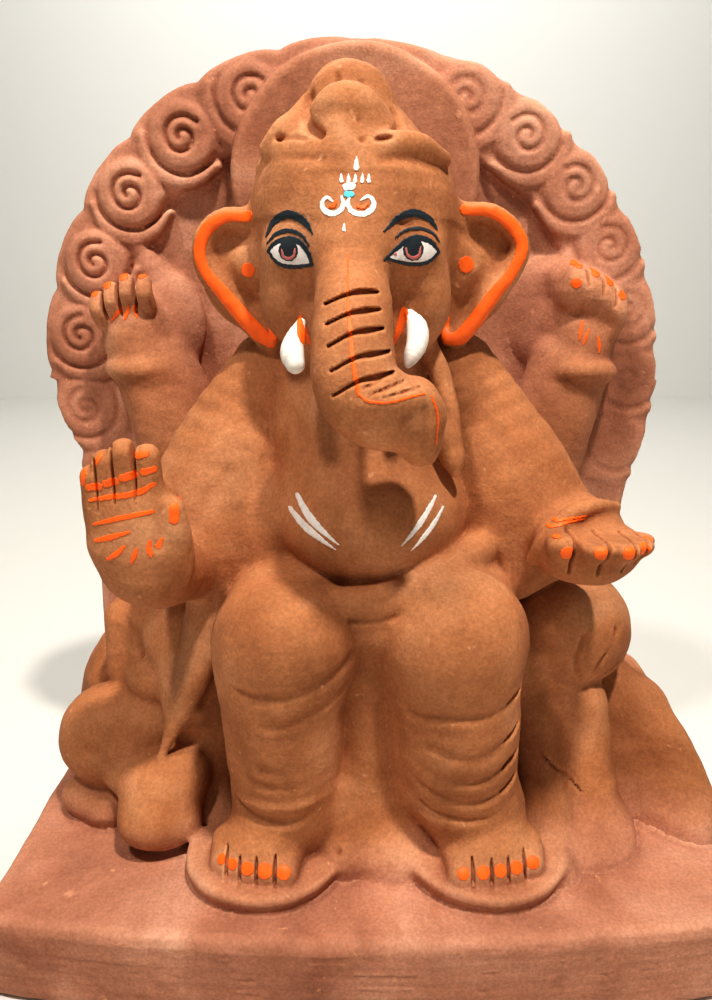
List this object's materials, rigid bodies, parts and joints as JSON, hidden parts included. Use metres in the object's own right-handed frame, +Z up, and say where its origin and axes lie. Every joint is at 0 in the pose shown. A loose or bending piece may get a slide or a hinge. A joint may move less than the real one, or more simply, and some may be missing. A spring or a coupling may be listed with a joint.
{
  "type": "ganesha idol",
  "caption": "Seated four-armed ganesha idol of unglazed terracotta on a slab base with a scroll-edged horseshoe throne back and a mouse.",
  "frame": {"origin": "centre of the base's underside", "axes": "+X to the viewer's right, +Y to the back, +Z up"},
  "size_m": [0.244, 0.146, 0.3],
  "materials": {
    "figure_clay": "matte unglazed terracotta, hand smoothed",
    "cloth_clay": "matte unglazed terracotta",
    "throne_clay": "matte unglazed terracotta",
    "base_clay": "matte unglazed terracotta with brush marks",
    "white_paint_clay": "terracotta with white poster paint"
  },
  "bodies": {
    "root": {"attribute_right": "figure_clay", "backplate": "throne_clay", "base_slab": "base_clay", "bolster_left": "throne_clay", "bolster_right": "throne_clay", "bracelet_left": "figure_clay", "bracelet_right": "figure_clay", "crown": "figure_clay", "dhoti_pleat": "cloth_clay", "drape_left": "cloth_clay", "drape_right": "cloth_clay", "ear_left": "figure_clay", "ear_right": "figure_clay", "foot_left": "figure_clay", "foot_pad_left": "figure_clay", "foot_pad_right": "figure_clay", "foot_right": "figure_clay", "forearm_left": "figure_clay", "forearm_right": "figure_clay", "halo_disc": "throne_clay", "hand_left": "figure_clay", "hand_right": "figure_clay", "head": "figure_clay", "leg_left": "figure_clay", "leg_right": "figure_clay", "mouse_body": "figure_clay", "mouse_head": "figure_clay", "rear_arm_left": "figure_clay", "rear_arm_right": "figure_clay", "rear_hand_left": "figure_clay", "rear_hand_right": "figure_clay", "sash": "cloth_clay", "scroll_border": "throne_clay", "scroll_coils": "throne_clay", "seat_block": "throne_clay", "throne_side_left": "throne_clay", "throne_side_right": "throne_clay", "torso": "figure_clay", "trunk": "figure_clay", "tusk_left": "white_paint_clay", "tusk_right": "white_paint_clay", "upper_arm_left": "figure_clay", "upper_arm_right": "figure_clay", "waist_roll": "cloth_clay"}
  },
  "joints": []
}
